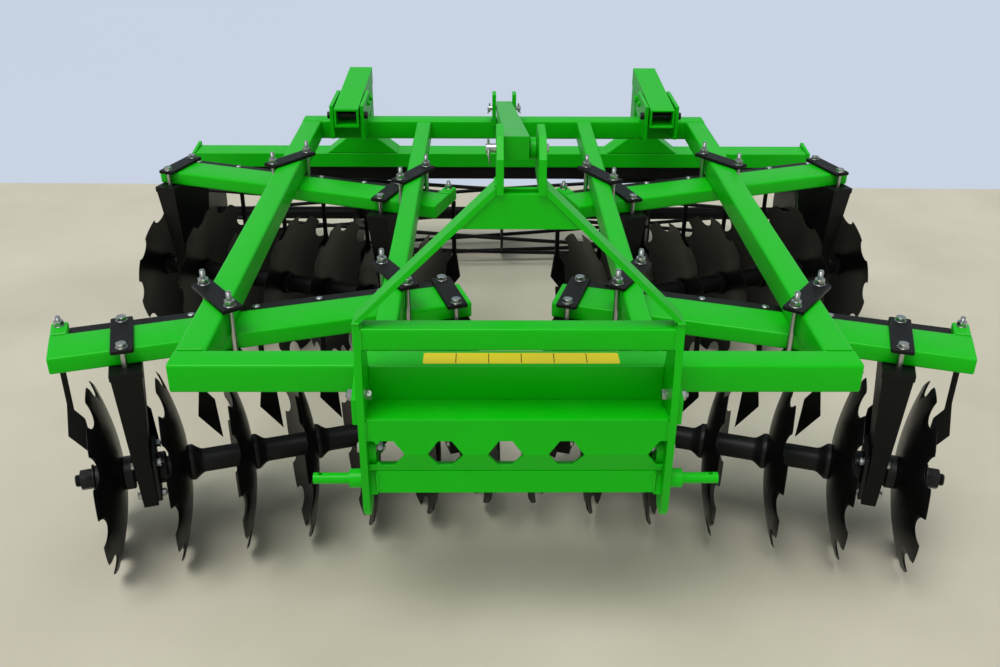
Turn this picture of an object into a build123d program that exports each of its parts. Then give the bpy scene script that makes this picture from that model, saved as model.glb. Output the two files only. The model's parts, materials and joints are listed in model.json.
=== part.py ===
"""Mounted X-type disc harrow with notched discs, scrapers and a rear cage roller.

Axes: +X to the right, +Y to the rear, +Z up, millimetres.  The harrow stands on its discs
and its roller.  While it is built, Y = 0 is the front face of the front beam; everything is
moved at the end so that the origin is at the bottom centre of the whole machine.

Each disc gang is built once in its own gang frame: x runs along the axle from the end that
the discs' hollow sides face, y is square to it towards the rear, z is the height above the
ground.  The front-left and rear-right gangs are placed from it, the other two mirrored.
"""
from build123d import *
from math import atan2, cos, degrees, hypot, radians, sin, tan
import os

# ---------------------------------------------------------------- main frame
frame_width = 1714          # over the outer rails
frame_length = 2190         # front face of the front beam to rear face of the rear beam
frame_top = 798             # top faces of the frame above the ground
beam_size = 80              # square tube of beams and outer rails
inner_rail_width = 60
inner_rail_offset = 340     # centre of an inner rail from the middle of the machine

# ---------------------------------------------------------------- disc gangs
disc_diameter = 560
disc_thickness = 5
disc_dish = 54              # depth of the hollow from the rim's plane to the hub seat
disc_seat_radius = 58       # flat middle that the spools clamp
disc_notches = 10
notch_radius = 44
notch_rise = 2              # notch centre outside the rim
disc_bevel = 9              # ground edge on the domed side
disc_pitch = 185            # hub to hub along the axle
discs_per_gang = 7
first_rim = 68              # rim plane of the first disc from the gang beam's end

axle_square = 40
bore_clearance = 0.5        # disc and spool bores around the axle
spool_tube_radius = 35
spool_flare_radius = 53
spool_flare_length = 14
spool_taper_length = 26
journal_radius = 30
end_collar_radius = 49      # collar between the first disc and its standard
spool_back_radius = 45      # seat of a spool in a disc's hollow
washer_radius = 38
end_nut_radius = 27
head_radius = 32
head_length = 12
axle_tail = 128             # axle beyond the first disc's seat
nut_length = 38
nut_inset = 16              # threaded end that shows past the nut

gang_beam_width = 140
gang_beam_height = 50
arm_width = 46              # square scraper arm at the hollow end of the gang
arm_reach = 144             # rear end of the arm from the beam's centreline
strap_width = 60            # clamp straps across beams and rails
strap_thickness = 12
strap_overhang = 20         # strap beyond a rod's centre
under_strap_width = 40
under_strap_overhang = 12
rod_radius = 8
rod_gap = 4                 # rod's side to the tube it passes

mount_plate_thickness = 20  # top plate of a standard
standard_top_width = 80
standard_foot_width = 41
standard_top_depth = 236
standard_foot_depth = 124
standard_foot_height = 190  # lower end above the ground
moving_gap = 6              # turning pieces to fixed pieces
far_standard = 1112         # middle of the last standard from the beam's end
standard_hole_radius = 37
bearing_plate = 140
bearing_plate_thickness = 14
bearing_boss_radius = 46
bearing_boss_length = 24
running_fit = 0.05

scraper_rail_width = 40
scraper_rail_thickness = 10
scraper_rail_drop = 22      # rail's top below the gang beam's top
scraper_rail_y = 128        # middle of the scraper rail and blades from the beam's centreline
scraper_stem_width = 16
scraper_stem_place = -62    # stem's middle across from the rim's plane
scraper_ties = (300, 540, 800, 1000)
scraper_thickness = 8
scraper_blade = [           # across from the disc's rim plane, height above the ground
    (-54, 440),
    (-30, 405),
    (-21, 268),
    (-85, 357),
    (-70, 465),
]

# gang table: name, angle, place of the beam's centreline end (X, Y), beam length and
# middle of the first standard from the beam's end
gangs = [
    ("front", 17.2, -1248, 240, 1162, 190),
    ("rear", 19.4, 236, 1368, 1162, 210),
]

# ---------------------------------------------------------------- headstock
side_plate_thickness = 18
side_plate_spread = 760     # over the two side plates
side_plate_front = -128     # front edge
side_plate_bottom = 425
side_plate_bend = 970       # where the plates bend inwards
lobe_setback = 18
lobe_height = 90            # widest part of the lobe above the plate's lower end
lean_bar_front = -114
lean_bar_depth = 60
lean_bar_rise = 18          # a converging bar's thickness, measured upright
ear_gap = 74                # between the top link ears
ear_thickness = 16
ear_front = -118
ear_back = 52
ear_top = 1398
ear_height = 119
ear_corner = 40             # corners taken off the ears
top_pin_radius = 12.7       # category 2 top link pin
top_pin_drop = 75           # middle of its hole below the ears' top
top_pin_y = -74
strut_bolt_y = 12
strut_bolt_drop = 55        # middle of the brace's front bolt below the ears' top
strut_bolt_radius = 10
lower_pin_radius = 14
lower_pin_height = 528
lower_pin_shoulder = 412.5  # half of the spacing of a category 2 hitch
lower_pin_y = -92
lower_pin_end = 503
lower_collar_radius = 24
linch_hole_radius = 5.5
hitch_bar_front = -104
hitch_bar_depth = 44
hitch_bar_top = 557
hitch_bar_height = 65
hitch_cheek_thickness = 18
hitch_cheek_bottom = 486
hitch_bolt_y = -72
hitch_bolt_height = 606
hitch_lobe_radius = 34
cross_tube_depth = 50
cross_tube_height = 58
cross_tube_bottom = 899
gusset_height = 81          # gussets' lower edge below the ears
gusset_inset = 6            # gussets inside the converging bars' faces
gusset_thickness = 12
apron_thickness = 8
apron_front = -120
apron_top = 716
apron_root = 698            # where the apron meets its flange on the front beam
apron_fold = 616            # where the apron folds back
apron_bottom = 557
apron_fold_back = 18
hex_hole_size = 85          # across corners, level
hex_hole_height = 78
hex_hole_flat = 32
hex_hole_places = (-314, -174, -27, 120)
bracket_thickness = 14

# ---------------------------------------------------------------- brace and roller
strut_front_side = 20       # right side of the brace, which lies against the left ear
strut_rear_side = 32        # right side at the rear beam, where it is central
strut_height = 54
strut_front = -22
strut_front_rise = 37       # brace's top at its front end above its front bolt
strut_rear_reach = 56       # brace past the rear beam's front face
strut_rear_rise = 83        # brace's top above the frame at the rear beam's front face
strut_ear_gap = 68
strut_ear_thickness = 16
strut_ear_rise = 121        # top of the rear ears above the frame
strut_spacer_radius = 24
roller_arm_inset = 167      # arm's middle inside the outer rail's middle
roller_arm_width = 100
roller_arm_height = 76
roller_arm_bottom = 811     # at the arm's front end
roller_arm_front = 1962
roller_arm_wall = 8
roller_arm_rear = 2562
roller_arm_climb = 31       # rise of the arm from front to rear
pivot_from_front = 50
pivot_radius = 15
pivot_clearance = 0.05
lug_thickness = 14
lug_gap = 5.5
lug_top = 896
lug_rear = 2262
roller_beam_half = 1426
roller_beam_depth = 122
roller_beam_height = 68
roller_beam_front = 2440
roller_beam_top = 548
roller_tube = 60            # square cross tube of the roller's own frame
roller_tube_setback = 10
roller_post_half = 48
roller_foot_half = 165
roller_foot_height = 90
roller_radius = 205
roller_axle_radius = 30
roller_journal_radius = 20
roller_rim_thickness = 10
roller_rims = 5
roller_bars = 10
roller_bar_radius = 9
roller_twist = 70           # degrees that a bar turns from end to end
roller_side_gap = 14
roller_bar_end = 10         # bar ends past the outer rims
roller_rim_inset = 4        # rims inside the bars' outer line
roller_notch_gap = 0.8
roller_plate_thickness = 14
roller_journal_end = 2      # journals past the end plates
roller_axle_back = 66       # roller axle behind the roller beam's middle

# ---------------------------------------------------------------- worked-out sizes
frame_bottom = frame_top - beam_size
ear_bottom = ear_top - ear_height
lean_top = ear_bottom + lean_bar_rise   # where the bars meet the ears' outer faces
gusset_foot = ear_bottom - gusset_height
top_pin_height = ear_top - top_pin_drop
strut_bolt_height = ear_top - strut_bolt_drop
strut_front_top = strut_bolt_height + strut_front_rise
strut_rear_top = frame_top + strut_rear_rise
strut_ear_top = frame_top + strut_ear_rise
half_width = frame_width / 2
rear_beam_front = frame_length - beam_size
strut_rear = rear_beam_front + strut_rear_reach
rail_centre = half_width - beam_size / 2
roller_arm_centre = rail_centre - roller_arm_inset
gang_top = frame_bottom
gang_bottom = gang_top - gang_beam_height
gang_half = gang_beam_width / 2
axle_height = disc_diameter / 2
mount_plate_bottom = gang_bottom - mount_plate_thickness
rod_line = gang_half + rod_gap + rod_radius
side_plate_outer = side_plate_spread / 2
side_plate_inner = side_plate_outer - side_plate_thickness
ear_inner = ear_gap / 2
ear_outer = ear_inner + ear_thickness


# ---------------------------------------------------------------- shape helpers
def block(x0, x1, y0, y1, z0, z1):
    """A square-edged bar between two corners."""
    middle = Pos((x0 + x1) / 2, (y0 + y1) / 2, (z0 + z1) / 2)
    return middle * Box(abs(x1 - x0), abs(y1 - y0), abs(z1 - z0))


def plate_x(outline, x0, x1):
    """A plate square to X from (y, z) corners."""
    plane = Plane(origin=(x0, 0, 0), x_dir=(0, 1, 0), z_dir=(1, 0, 0))
    return extrude(plane * Polygon(*outline, align=None), amount=x1 - x0, dir=(1, 0, 0))


def plate_y(outline, y0, y1):
    """A plate square to Y from (x, z) corners."""
    plane = Plane(origin=(0, y1, 0), x_dir=(1, 0, 0), z_dir=(0, -1, 0))
    return extrude(plane * Polygon(*outline, align=None), amount=y1 - y0, dir=(0, -1, 0))


def plate_z(outline, z0, z1):
    """A plate square to Z from (x, y) corners."""
    face = Plane.XY.offset(z0) * Polygon(*outline, align=None)
    return extrude(face, amount=z1 - z0, dir=(0, 0, 1))


def rod_x(radius, x0, x1, y, z):
    """A round bar along X."""
    return Pos((x0 + x1) / 2, y, z) * Rot(0, 90, 0) * Cylinder(radius, abs(x1 - x0))


def rod_z(radius, x, y, z0, z1):
    """A round upright bar."""
    return Pos(x, y, (z0 + z1) / 2) * Cylinder(radius, abs(z1 - z0))


def flipped(shape):
    """The same piece on the other side of the machine."""
    return mirror(shape, about=Plane.YZ)


def both_sides(shape):
    """A piece and its mirror image, as two loose solids of one node."""
    return Compound(children=list(shape.solids()) + list(flipped(shape).solids()))


def bundle(shapes):
    """Loose solids that share one node."""
    return Compound(children=[solid for shape in shapes for solid in shape.solids()])


# ---------------------------------------------------------------- main frame
def frame_parts():
    parts = {}
    parts["front_beam"] = block(-half_width, half_width, 0, beam_size, frame_bottom, frame_top)
    parts["rear_beam"] = block(
        -half_width, half_width, rear_beam_front, frame_length, frame_bottom, frame_top
    )
    outer = block(
        rail_centre - beam_size / 2, half_width, beam_size, rear_beam_front, frame_bottom, frame_top
    )
    inner = block(
        inner_rail_offset - inner_rail_width / 2,
        inner_rail_offset + inner_rail_width / 2,
        beam_size,
        rear_beam_front,
        frame_bottom,
        frame_top,
    )
    parts["outer_rail_right"] = outer
    parts["outer_rail_left"] = flipped(outer)
    parts["inner_rail_right"] = inner
    parts["inner_rail_left"] = flipped(inner)
    return parts


# ---------------------------------------------------------------- headstock
def headstock_parts():
    """A-frame: side plates, converging bars, top link ears, ties and the bracket plates."""
    parts = {}
    bar_back = lean_bar_front + lean_bar_depth
    side = plate_x(
        [
            (side_plate_front + 22, side_plate_bottom),
            (side_plate_front + 66, side_plate_bottom),
            (-lobe_setback, side_plate_bottom + lobe_height),
            (0, apron_root),
            (0, frame_top),
            (bar_back, side_plate_bend),
            (lean_bar_front, side_plate_bend),
            (side_plate_front, frame_top),
            (side_plate_front, side_plate_bottom + 30),
        ],
        side_plate_inner,
        side_plate_outer,
    )
    side -= rod_x(
        lower_pin_radius, side_plate_inner - 5, side_plate_outer + 5, lower_pin_y, lower_pin_height
    )
    lean = plate_y(
        [
            (side_plate_outer, side_plate_bend),
            (side_plate_inner, side_plate_bend),
            (ear_outer, lean_top - lean_bar_rise),
            (ear_outer, lean_top),
        ],
        lean_bar_front,
        bar_back,
    )
    ear = plate_x(
        [
            (ear_front, ear_bottom),
            (ear_back, ear_bottom),
            (ear_back, ear_top - ear_corner),
            (ear_back - ear_corner, ear_top),
            (ear_front + ear_corner, ear_top),
            (ear_front, ear_top - ear_corner),
        ],
        ear_inner,
        ear_outer,
    )
    ear -= rod_x(top_pin_radius + running_fit, 0, ear_outer + 5, top_pin_y, top_pin_height)
    ear -= rod_x(strut_bolt_radius + 0.2, 0, ear_outer + 5, strut_bolt_y, strut_bolt_height)
    cheek = bundle([side, lean, ear])
    parts["headstock_cheek_right"] = cheek
    parts["headstock_cheek_left"] = flipped(cheek)

    parts["headstock_cross_tube"] = block(
        -side_plate_inner,
        side_plate_inner,
        lean_bar_front,
        lean_bar_front + cross_tube_depth,
        cross_tube_bottom,
        cross_tube_bottom + cross_tube_height,
    )
    foot_half = lean_inner(gusset_foot)
    outline = [
        (-foot_half, gusset_foot),
        (foot_half, gusset_foot),
        (ear_outer, ear_bottom),
        (-ear_outer, ear_bottom),
    ]
    gussets = []
    for front in (lean_bar_front + gusset_inset, bar_back - gusset_inset - gusset_thickness):
        gussets.append(plate_y(outline, front, front + gusset_thickness))
    parts["headstock_gusset"] = bundle(gussets)
    parts["headstock_apron"] = apron()
    parts.update(hitch_parts())
    bracket = plate_x(
        [
            (side_plate_front + 14, frame_bottom - 20),
            (side_plate_front + 14, frame_bottom + 50),
            (-30, frame_top - 2),
            (0, frame_top - 2),
            (0, frame_bottom - 20),
        ],
        side_plate_outer,
        side_plate_outer + bracket_thickness,
    )
    parts["headstock_brackets"] = both_sides(bracket)
    return parts


def lean_inner(height):
    """Lower face of a converging bar, from the middle of the machine, at a height."""
    share = (ear_bottom - height) / (ear_bottom - side_plate_bend)
    return ear_outer + (side_plate_inner - ear_outer) * share


def apron():
    """Folded plate: a flange on the front beam, a sloping top, a face and a lip turned back."""
    root_back = -apron_thickness
    inner_front = apron_front + apron_thickness
    flange = plate_x(
        [(root_back, apron_root), (0, apron_root), (0, frame_top), (root_back, frame_top)],
        -side_plate_inner,
        side_plate_inner,
    )
    top_plate = plate_x(
        [
            (inner_front, apron_top - apron_thickness),
            (inner_front, apron_top),
            (root_back, apron_root + apron_thickness),
            (root_back, apron_root),
        ],
        -side_plate_inner,
        side_plate_inner,
    )
    face = block(
        -side_plate_inner, side_plate_inner, apron_front, inner_front, apron_fold, apron_top
    )
    lip_back = apron_front + apron_fold_back
    lip = plate_x(
        [
            (apron_front, apron_fold),
            (lip_back, apron_bottom),
            (lip_back + apron_thickness, apron_bottom),
            (inner_front, apron_fold),
        ],
        -side_plate_inner,
        side_plate_inner,
    )
    half = hex_hole_size / 2
    flat = hex_hole_flat / 2
    tall = hex_hole_height / 2
    for place in (-side_plate_inner, *hex_hole_places, side_plate_inner):
        hole = [
            (place - half, apron_fold),
            (place - flat, apron_fold + tall),
            (place + flat, apron_fold + tall),
            (place + half, apron_fold),
            (place + flat, apron_fold - tall),
            (place - flat, apron_fold - tall),
        ]
        cutter = plate_y(hole, apron_front - 20, apron_front + 60)
        face -= cutter
        lip -= cutter
    return bundle([flange, top_plate, face, lip])


def hitch_parts():
    """Hitch bar with its bolted cheeks, and the lower link pins with their collars."""
    parts = {}
    bar_end = side_plate_inner - hitch_cheek_thickness
    bar = block(
        -bar_end,
        bar_end,
        hitch_bar_front,
        hitch_bar_front + hitch_bar_depth,
        hitch_bar_top - hitch_bar_height,
        hitch_bar_top,
    )
    cheek = plate_x(
        [
            (hitch_bar_front, hitch_cheek_bottom),
            (hitch_bar_front + hitch_bar_depth + 8, hitch_cheek_bottom),
            (hitch_bolt_y + hitch_lobe_radius, hitch_bolt_height),
            (hitch_bolt_y - hitch_lobe_radius + 8, hitch_bolt_height),
            (hitch_bar_front + 14, hitch_bar_top),
        ],
        bar_end,
        side_plate_inner,
    )
    cheek += rod_x(
        hitch_lobe_radius - 6, bar_end, side_plate_inner, hitch_bolt_y + 3, hitch_bolt_height
    )
    parts["hitch_bar"] = bundle([bar, both_sides(cheek)])
    pin = rod_x(
        lower_pin_radius - 0.3, side_plate_inner, lower_pin_end, lower_pin_y, lower_pin_height
    )
    pin += rod_x(
        lower_collar_radius, side_plate_outer, lower_pin_shoulder, lower_pin_y, lower_pin_height
    )
    pin += rod_x(
        lower_pin_radius, lower_pin_shoulder, lower_pin_end, lower_pin_y, lower_pin_height
    )
    pin -= rod_z(
        linch_hole_radius,
        lower_pin_end - 18,
        lower_pin_y,
        lower_pin_height - 30,
        lower_pin_height + 30,
    )
    parts["hitch_pin_right"] = pin
    parts["hitch_pin_left"] = flipped(pin)
    return parts


# ---------------------------------------------------------------- brace strut
def strut_parts():
    """The bar from the top of the headstock back to the rear beam, with its ears and pins."""
    parts = {}
    ear_x0 = strut_ear_gap / 2
    ear_x1 = ear_x0 + strut_ear_thickness
    ear = plate_x(
        [
            (rear_beam_front - 34, frame_top - 12),
            (rear_beam_front, frame_top - 12),
            (rear_beam_front, frame_top),
            (rear_beam_front + 44, frame_top),
            (rear_beam_front + 26, strut_ear_top),
            (rear_beam_front - 34, strut_ear_top),
        ],
        ear_x0,
        ear_x1,
    )
    fall = (strut_front_top - strut_rear_top) / (rear_beam_front - strut_front)
    rear_drop = strut_front_top - fall * (strut_rear - strut_front)
    bar = plate_x(
        [
            (strut_front, strut_front_top - strut_height),
            (strut_front, strut_front_top),
            (strut_rear, rear_drop),
            (strut_rear, rear_drop - strut_height),
        ],
        -ear_inner,
        ear_inner,
    )
    outline = [
        (1 - ear_inner, strut_front),
        (strut_front_side, strut_front),
        (strut_rear_side, strut_rear),
        (-strut_rear_side, strut_rear),
    ]
    bar &= plate_z(outline, 0, ear_top)
    pin_z = strut_rear_top - strut_height / 2
    hole = strut_bolt_radius + 0.2
    bar -= rod_x(hole, -ear_x1, ear_x1, rear_beam_front, pin_z)
    bar -= rod_x(hole, -ear_outer, ear_outer, strut_bolt_y, strut_bolt_height)
    parts["brace_strut"] = bar
    parts["strut_ears"] = both_sides(ear - rod_x(hole, 0, 2 * ear_x1, rear_beam_front, pin_z))
    rear_pin = rod_x(strut_bolt_radius, -ear_x1 - 16, ear_x1 + 16, rear_beam_front, pin_z)
    front_pin = rod_x(
        strut_bolt_radius, -ear_outer - 12, ear_outer + 12, strut_bolt_y, strut_bolt_height
    )
    spacer_ends = (strut_front_side + 1.5, ear_inner - 0.5)
    spacer = rod_x(strut_spacer_radius, *spacer_ends, strut_bolt_y, strut_bolt_height)
    spacer -= rod_x(hole, 0, ear_outer, strut_bolt_y, strut_bolt_height)
    parts["strut_pins"] = bundle([rear_pin, front_pin, spacer])
    return parts


# ---------------------------------------------------------------- one disc gang
def disc(seat_x):
    """A dished disc on the axle: seat_x is the hollow side of its flat seat."""
    radius = disc_diameter / 2
    rim_x = seat_x - disc_dish
    hollow = ThreePointArc(
        (rim_x, radius),
        (seat_x - disc_dish * 0.26, radius * 0.55),
        (seat_x, disc_seat_radius),
    )
    dome = ThreePointArc(
        (seat_x + disc_thickness, disc_seat_radius),
        (seat_x - disc_dish * 0.26 + disc_thickness, radius * 0.55),
        (rim_x + disc_thickness + 1, radius - disc_bevel),
    )
    half = make_face(
        hollow
        + Line((seat_x, disc_seat_radius), (seat_x, 0))
        + Line((seat_x, 0), (seat_x + disc_thickness, 0))
        + Line((seat_x + disc_thickness, 0), (seat_x + disc_thickness, disc_seat_radius))
        + dome
        + Line((rim_x + disc_thickness + 1, radius - disc_bevel), (rim_x, radius))
    )
    blade = revolve(half, axis=Axis.X, revolution_arc=360)
    middle = seat_x - disc_dish / 2
    for index in range(disc_notches):
        turn = 360 / disc_notches * (index + 0.5)
        notch = Rot(0, 90, 0) * Cylinder(notch_radius, disc_dish * 2)
        blade -= Rot(turn, 0, 0) * Pos(middle, 0, -(radius + notch_rise)) * notch
    hole = axle_square + 2 * bore_clearance
    blade -= Pos(seat_x, 0, 0) * Box(disc_dish, hole, hole)
    return Pos(0, 0, axle_height) * blade


def turned(stations):
    """A body turned about the axle from (x, radius) stations."""
    outline = [(stations[0][0], 0)] + list(stations) + [(stations[-1][0], 0)]
    face = make_face(Polyline(*outline, close=True))
    return Pos(0, 0, axle_height) * revolve(face, axis=Axis.X, revolution_arc=360)


def seats():
    """Hollow-side face of each disc's seat."""
    return [first_rim + disc_dish + disc_pitch * index for index in range(discs_per_gang)]


def spool_stations(x0, x1):
    """A spool between two discs, flared where it clamps them."""
    return [
        (x0, spool_flare_radius),
        (x0 + spool_flare_length, spool_flare_radius),
        (x0 + spool_flare_length + spool_taper_length, spool_tube_radius),
        (x1 - spool_flare_length, spool_tube_radius),
        (x1 - spool_flare_length, spool_back_radius),
        (x1, spool_back_radius),
    ]


def bearing_stations(x0, x1, place):
    """The spool of a gap that holds a standard: a collar, a journal and a short tube."""
    near = near_face(place, axle_height + end_collar_radius + moving_gap) - moving_gap
    far = far_face(place) + bearing_plate_thickness + bearing_boss_length + moving_gap
    return [
        (x0, end_collar_radius),
        (near, end_collar_radius),
        (near, journal_radius),
        (far, journal_radius),
        (far, spool_tube_radius),
        (x1 - spool_flare_length, spool_tube_radius),
        (x1 - spool_flare_length, spool_back_radius),
        (x1, spool_back_radius),
    ]


def far_face(place):
    """The upright face of a standard's foot that carries the bearing."""
    return place + standard_foot_width / 2


def near_face(place, height):
    """The slanting face of a standard at a height."""
    rise = (height - standard_foot_height) / (mount_plate_bottom - standard_foot_height)
    foot = standard_foot_width / 2
    return place - foot - (standard_top_width / 2 - foot) * rise


def standard(place):
    """A tapering fabricated leg and its top plate, drilled for the axle and the rods."""
    foot = standard_foot_width / 2
    top = standard_top_width / 2
    knee = axle_height + bearing_plate / 2 + 10
    leg = plate_y(
        [
            (place - foot, standard_foot_height),
            (place + foot, standard_foot_height),
            (place + foot, knee),
            (place + top, mount_plate_bottom),
            (place - top, mount_plate_bottom),
        ],
        -standard_top_depth / 2,
        standard_top_depth / 2,
    )
    leg &= plate_x(
        [
            (-standard_foot_depth / 2, standard_foot_height),
            (standard_foot_depth / 2, standard_foot_height),
            (standard_top_depth / 2, mount_plate_bottom),
            (-standard_top_depth / 2, mount_plate_bottom),
        ],
        place - standard_top_width,
        place + standard_top_width,
    )
    plate = block(
        place - top - 3,
        place + top + 3,
        -standard_top_depth / 2 - 2,
        standard_top_depth / 2 + 2,
        mount_plate_bottom,
        gang_bottom,
    )
    leg -= rod_x(standard_hole_radius, place - 80, place + 80, 0, axle_height)
    for side in (-1, 1):
        hole = rod_z(rod_radius + 0.5, place, side * rod_line, mount_plate_bottom - 60, gang_top)
        plate -= hole
        leg -= hole
    return bundle([leg, plate])


def bearing(place):
    """A square flanged bearing on the upright face of the standard's foot."""
    face_x = far_face(place)
    half = bearing_plate / 2
    body = block(
        face_x,
        face_x + bearing_plate_thickness,
        -half,
        half,
        axle_height - half,
        axle_height + half,
    )
    body += rod_x(
        bearing_boss_radius,
        face_x + bearing_plate_thickness,
        face_x + bearing_plate_thickness + bearing_boss_length,
        0,
        axle_height,
    )
    return body - rod_x(journal_radius + running_fit, face_x - 10, face_x + 80, 0, axle_height)


def standard_strap(place):
    """The strap and two rods that hang a standard under the gang beam."""
    half = rod_line + strap_overhang
    shapes = [
        block(
            place - strap_width / 2,
            place + strap_width / 2,
            -half,
            half,
            gang_top,
            gang_top + strap_thickness,
        )
    ]
    for side in (-1, 1):
        shapes.append(
            rod_z(rod_radius, place, side * rod_line, mount_plate_bottom - 24, gang_top)
        )
    return bundle(shapes)


def scraper(rim_x, stem_top, y0):
    """A flat scraper: a narrow stem and a pointed blade in front of a disc's hollow."""
    stem_x = rim_x + scraper_stem_place
    half = scraper_stem_width / 2
    blade = [(rim_x + across, height) for across, height in scraper_blade]
    outline = [(stem_x - half, stem_top), (stem_x + half, stem_top)] + blade
    return plate_y(outline, y0, y0 + scraper_thickness)


def gang_parts(length, standard_places):
    """All pieces of the gang whose hollow sides face its x = 0 end."""
    pieces = {}
    beam = block(0, length, -gang_half, gang_half, gang_bottom, gang_top)
    arm = block(0, arm_width, gang_half, arm_reach, gang_bottom, gang_top)
    pieces["gang_beam"] = bundle([beam, arm])

    stations = seats()
    pieces["discs"] = bundle([disc(seat) for seat in stations])

    start = stations[0] - axle_tail
    finish = stations[-1] + disc_thickness + head_length
    shaft = block(
        start,
        finish,
        -axle_square / 2,
        axle_square / 2,
        axle_height - axle_square / 2,
        axle_height + axle_square / 2,
    )
    nut_start = stations[0] - axle_tail + nut_inset
    shaft += turned(
        [
            (nut_start, end_nut_radius),
            (nut_start + nut_length, end_nut_radius),
            (nut_start + nut_length, washer_radius),
            (stations[0], spool_back_radius),
        ]
    )
    for index in range(discs_per_gang - 1):
        x0 = stations[index] + disc_thickness
        x1 = stations[index + 1]
        held = [place for place in standard_places if x0 < place < x1]
        if held:
            shaft += turned(bearing_stations(x0, x1, held[0]))
        else:
            shaft += turned(spool_stations(x0, x1))
    head_x = stations[-1] + disc_thickness
    shaft += turned([(head_x, head_radius), (head_x + head_length, head_radius)])
    pieces["axle"] = shaft

    pieces["standards"] = bundle([standard(place) for place in standard_places])
    pieces["bearings"] = bundle([bearing(place) for place in standard_places])

    rail_top = gang_top - scraper_rail_drop
    rail_bottom = rail_top - scraper_rail_thickness
    rims = [seat - disc_dish for seat in stations]
    last = rims[-1] + scraper_stem_place + scraper_stem_width
    rail_front = scraper_rail_y - scraper_rail_width / 2
    rail_back = scraper_rail_y + scraper_rail_width / 2
    comb = [block(arm_width, last, rail_front, rail_back, rail_bottom, rail_top)]
    for tie in scraper_ties:
        comb.append(
            block(tie - 20, tie + 20, gang_half, rail_front, rail_bottom, rail_top)
        )
    blade_front = scraper_rail_y - scraper_thickness / 2
    comb.append(scraper(rims[0], gang_bottom, blade_front))
    for rim in rims[1:]:
        comb.append(scraper(rim, rail_bottom, blade_front))
    pieces["scrapers"] = bundle(comb)
    return pieces


def rail_strap(place_x, place_y, angle, half_rail):
    """Slanting straps above a rail and below a gang beam, drawn together by two rods.

    The rods stand at opposite corners of the crossing.
    """
    across = half_rail + rod_gap + rod_radius
    along = rod_line / cos(radians(angle)) - across * tan(radians(angle))
    reach = hypot(across, along)
    heading = degrees(atan2(along, -across))
    shapes = []
    for bottom, width, overhang in (
        (frame_top, strap_width, strap_overhang),
        (gang_bottom - strap_thickness, under_strap_width, under_strap_overhang),
    ):
        shapes.append(
            block(
                -reach - overhang,
                reach + overhang,
                -width / 2,
                width / 2,
                bottom,
                bottom + strap_thickness,
            )
        )
    for end in (-1, 1):
        shapes.append(rod_z(rod_radius, end * reach, 0, gang_bottom, frame_top))
    return Location((place_x, place_y, 0), (0, 0, heading)) * bundle(shapes)


# ---------------------------------------------------------------- roller
def roller_fixed_parts():
    """Lugs on the rear beam that carry the roller arms."""
    parts = {}
    pivot_y = roller_arm_front + pivot_from_front
    pivot_z = roller_arm_bottom + roller_arm_height / 2
    lugs = []
    for side in (-1, 1):
        x0 = roller_arm_centre + side * (roller_arm_width / 2 + lug_gap)
        x1 = x0 + side * lug_thickness
        lugs.append(
            plate_x(
                [
                    (pivot_y - 32, frame_bottom + 40),
                    (rear_beam_front, frame_bottom + 20),
                    (rear_beam_front, frame_top),
                    (frame_length, frame_top),
                    (lug_rear, frame_top + 10),
                    (lug_rear - 30, lug_top),
                    (pivot_y - 32, lug_top),
                ],
                min(x0, x1),
                max(x0, x1),
            )
        )
    pin_reach = roller_arm_width / 2 + lug_gap + lug_thickness
    pair = bundle(lugs) - rod_x(pivot_radius + 0.2, 0, roller_beam_half, pivot_y, pivot_z)
    parts["roller_lugs"] = both_sides(pair)
    pin = rod_x(
        pivot_radius,
        roller_arm_centre - pin_reach - 14,
        roller_arm_centre + pin_reach + 14,
        pivot_y,
        pivot_z,
    )
    parts["roller_pivot_pins"] = both_sides(pin)
    return parts


def arm_section(inset):
    """Side outline of a roller arm, drawn in by inset; its underside climbs to the rear."""
    rise = roller_arm_climb / (roller_arm_rear - roller_arm_front)
    front = roller_arm_front - (1 if inset else 0)
    rear = roller_arm_rear - inset
    outline = []
    for base in (roller_arm_bottom + inset, roller_arm_bottom + roller_arm_height - inset):
        for y in (front, rear):
            outline.append((y, base + rise * (y - roller_arm_front)))
    low_front, low_rear, high_front, high_rear = outline
    return [low_front, low_rear, high_rear, high_front]


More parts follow.
